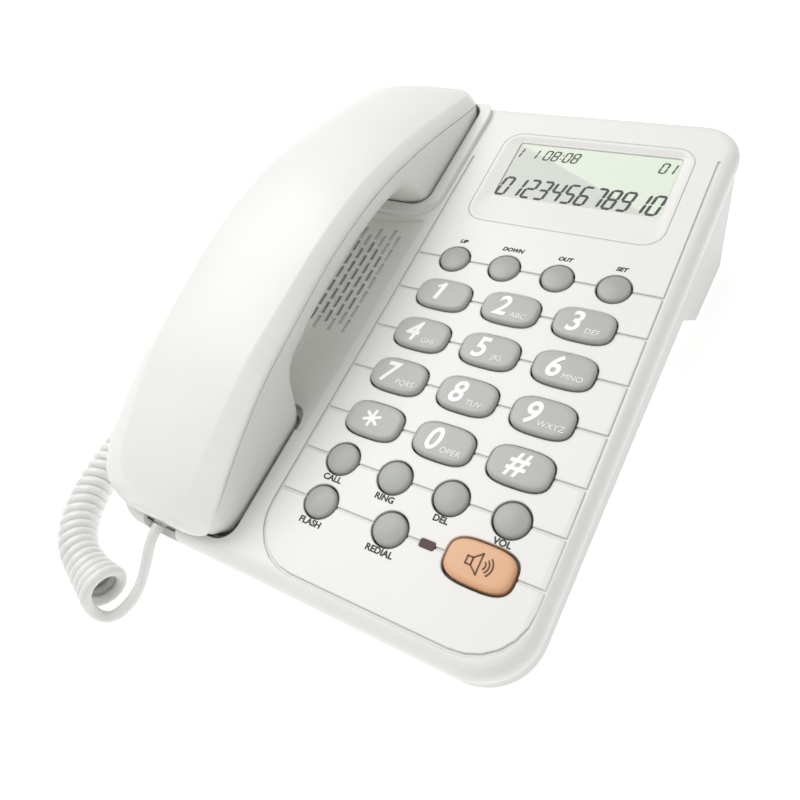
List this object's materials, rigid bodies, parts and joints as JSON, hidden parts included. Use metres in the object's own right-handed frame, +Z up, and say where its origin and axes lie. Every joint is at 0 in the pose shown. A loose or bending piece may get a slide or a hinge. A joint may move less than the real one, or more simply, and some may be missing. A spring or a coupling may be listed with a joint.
{
  "type": "corded landline telephone",
  "caption": "Wedge-shaped desk telephone with a keypad, a display and a loudspeaker, a handset lying in a cradle on the left and a curly handset cord.",
  "frame": {"origin": "bottom centre of the telephone's box, base and handset without the cord, on the table", "axes": "+Z up, +X to the user's right, +Y to the rear"},
  "size_m": [0.1882, 0.23, 0.0732],
  "materials": {
    "shell": "satin, finely textured ABS",
    "under_shell": "satin ABS",
    "grey_key": "satin",
    "orange_key": "satin",
    "rubber_black": "matte",
    "silicone": "matte",
    "steel": "plated",
    "cell": "sleeve",
    "board": "solder mask",
    "cable": "flat ribbon",
    "window": "clear",
    "lcd": "pale green display",
    "red_lens": "tinted clear",
    "black_plastic": "matte",
    "clear_plug": "clear polycarbonate",
    "cord": "smooth PVC"
  },
  "bodies": {
    "base": {"base_top_cover": "shell", "base_bottom_cover": "under_shell", "rubber_feet": "rubber_black", "base_screws": "steel", "ballast_plate": "steel", "battery_cells": "cell", "battery_contacts": "steel", "keypad_membrane": "silicone", "keypad_board": "board", "main_board": "board", "flat_cable": "cable", "display_bezel": "shell", "display_window": "window", "display_panel": "lcd", "indicator_lens": "red_lens", "indicator_led": "red_lens", "loudspeaker": "black_plastic", "handsfree_microphone": "black_plastic", "hook_spring": "steel", "hook_switch": "black_plastic", "line_socket": "black_plastic", "cord_socket": "black_plastic", "base_plug": "clear_plug", "base_tail": "cord", "curly_cord": "cord", "handset_tail": "cord"},
    "hook": {"hook_button": "shell"},
    "battery_door": {"battery_cover": "under_shell"},
    "handset": {"handset_top_shell": "shell", "handset_bottom_shell": "shell", "receiver_capsule": "black_plastic", "microphone_capsule": "black_plastic", "handset_socket": "black_plastic", "handset_weight": "steel", "handset_screws": "steel", "handset_plug": "clear_plug"},
    "key_1_body": {"key_1": "grey_key"},
    "key_2_body": {"key_2": "grey_key"},
    "key_3_body": {"key_3": "grey_key"},
    "key_4_body": {"key_4": "grey_key"},
    "key_5_body": {"key_5": "grey_key"},
    "key_6_body": {"key_6": "grey_key"},
    "key_7_body": {"key_7": "grey_key"},
    "key_8_body": {"key_8": "grey_key"},
    "key_9_body": {"key_9": "grey_key"},
    "key_star_body": {"key_star": "grey_key"},
    "key_0_body": {"key_0": "grey_key"},
    "key_hash_body": {"key_hash": "grey_key"},
    "key_scroll_up_body": {"key_scroll_up": "grey_key"},
    "key_scroll_down_body": {"key_scroll_down": "grey_key"},
    "key_dial_out_body": {"key_dial_out": "grey_key"},
    "key_set_body": {"key_set": "grey_key"},
    "key_call_back_body": {"key_call_back": "grey_key"},
    "key_ringer_body": {"key_ringer": "grey_key"},
    "key_delete_body": {"key_delete": "grey_key"},
    "key_volume_body": {"key_volume": "grey_key"},
    "key_flash_body": {"key_flash": "grey_key"},
    "key_redial_body": {"key_redial": "grey_key"},
    "key_loudspeaker_body": {"key_loudspeaker": "orange_key"}
  },
  "joints": [
    {"name": "key_1_press", "type": "slide", "parent": "base", "child": "key_1_body", "axis": [0, 0.1736, -0.9848], "range_m": [0, 0.0012], "stiffness_N_per_m": 200, "springref_m": -0.001},
    {"name": "key_2_press", "type": "slide", "parent": "base", "child": "key_2_body", "axis": [0, 0.1736, -0.9848], "range_m": [0, 0.0012], "stiffness_N_per_m": 200, "springref_m": -0.001},
    {"name": "key_3_press", "type": "slide", "parent": "base", "child": "key_3_body", "axis": [0, 0.1736, -0.9848], "range_m": [0, 0.0012], "stiffness_N_per_m": 200, "springref_m": -0.001},
    {"name": "key_4_press", "type": "slide", "parent": "base", "child": "key_4_body", "axis": [0, 0.1736, -0.9848], "range_m": [0, 0.0012], "stiffness_N_per_m": 200, "springref_m": -0.001},
    {"name": "key_5_press", "type": "slide", "parent": "base", "child": "key_5_body", "axis": [0, 0.1736, -0.9848], "range_m": [0, 0.0012], "stiffness_N_per_m": 200, "springref_m": -0.001},
    {"name": "key_6_press", "type": "slide", "parent": "base", "child": "key_6_body", "axis": [0, 0.1736, -0.9848], "range_m": [0, 0.0012], "stiffness_N_per_m": 200, "springref_m": -0.001},
    {"name": "key_7_press", "type": "slide", "parent": "base", "child": "key_7_body", "axis": [0, 0.1736, -0.9848], "range_m": [0, 0.0012], "stiffness_N_per_m": 200, "springref_m": -0.001},
    {"name": "key_8_press", "type": "slide", "parent": "base", "child": "key_8_body", "axis": [0, 0.1736, -0.9848], "range_m": [0, 0.0012], "stiffness_N_per_m": 200, "springref_m": -0.001},
    {"name": "key_9_press", "type": "slide", "parent": "base", "child": "key_9_body", "axis": [0, 0.1736, -0.9848], "range_m": [0, 0.0012], "stiffness_N_per_m": 200, "springref_m": -0.001},
    {"name": "key_star_press", "type": "slide", "parent": "base", "child": "key_star_body", "axis": [0, 0.1736, -0.9848], "range_m": [0, 0.0012], "stiffness_N_per_m": 200, "springref_m": -0.001},
    {"name": "key_0_press", "type": "slide", "parent": "base", "child": "key_0_body", "axis": [0, 0.1736, -0.9848], "range_m": [0, 0.0012], "stiffness_N_per_m": 200, "springref_m": -0.001},
    {"name": "key_hash_press", "type": "slide", "parent": "base", "child": "key_hash_body", "axis": [0, 0.1736, -0.9848], "range_m": [0, 0.0012], "stiffness_N_per_m": 200, "springref_m": -0.001},
    {"name": "key_scroll_up_press", "type": "slide", "parent": "base", "child": "key_scroll_up_body", "axis": [0, 0.1736, -0.9848], "range_m": [0, 0.0012], "stiffness_N_per_m": 200, "springref_m": -0.001},
    {"name": "key_scroll_down_press", "type": "slide", "parent": "base", "child": "key_scroll_down_body", "axis": [0, 0.1736, -0.9848], "range_m": [0, 0.0012], "stiffness_N_per_m": 200, "springref_m": -0.001},
    {"name": "key_dial_out_press", "type": "slide", "parent": "base", "child": "key_dial_out_body", "axis": [0, 0.1736, -0.9848], "range_m": [0, 0.0012], "stiffness_N_per_m": 200, "springref_m": -0.001},
    {"name": "key_set_press", "type": "slide", "parent": "base", "child": "key_set_body", "axis": [0, 0.1736, -0.9848], "range_m": [0, 0.0012], "stiffness_N_per_m": 200, "springref_m": -0.001},
    {"name": "key_call_back_press", "type": "slide", "parent": "base", "child": "key_call_back_body", "axis": [0, 0.1736, -0.9848], "range_m": [0, 0.0012], "stiffness_N_per_m": 200, "springref_m": -0.001},
    {"name": "key_ringer_press", "type": "slide", "parent": "base", "child": "key_ringer_body", "axis": [0, 0.1736, -0.9848], "range_m": [0, 0.0012], "stiffness_N_per_m": 200, "springref_m": -0.001},
    {"name": "key_delete_press", "type": "slide", "parent": "base", "child": "key_delete_body", "axis": [0, 0.1736, -0.9848], "range_m": [0, 0.0012], "stiffness_N_per_m": 200, "springref_m": -0.001},
    {"name": "key_volume_press", "type": "slide", "parent": "base", "child": "key_volume_body", "axis": [0, 0.1736, -0.9848], "range_m": [0, 0.0012], "stiffness_N_per_m": 200, "springref_m": -0.001},
    {"name": "key_flash_press", "type": "slide", "parent": "base", "child": "key_flash_body", "axis": [0, 0.1736, -0.9848], "range_m": [0, 0.0012], "stiffness_N_per_m": 200, "springref_m": -0.001},
    {"name": "key_redial_press", "type": "slide", "parent": "base", "child": "key_redial_body", "axis": [0, 0.1736, -0.9848], "range_m": [0, 0.0012], "stiffness_N_per_m": 200, "springref_m": -0.001},
    {"name": "key_loudspeaker_press", "type": "slide", "parent": "base", "child": "key_loudspeaker_body", "axis": [0, 0.1736, -0.9848], "range_m": [0, 0.0012], "stiffness_N_per_m": 200, "springref_m": -0.001},
    {"name": "handset_lift", "type": "slide", "parent": "base", "child": "handset", "axis": [0, -0.1736, 0.9848], "range_m": [0, 0.11]},
    {"name": "hook_rise", "type": "slide", "parent": "base", "child": "hook", "axis": [0, -0.1736, 0.9848], "range_m": [0, 0.004]},
    {"name": "battery_door_slide", "type": "slide", "parent": "base", "child": "battery_door", "axis": [0, 1, 0], "range_m": [0, 0.036]}
  ],
  "couplings": [
    {"joint": "hook_rise", "follows": "handset_lift", "ratio": 0.036}
  ]
}
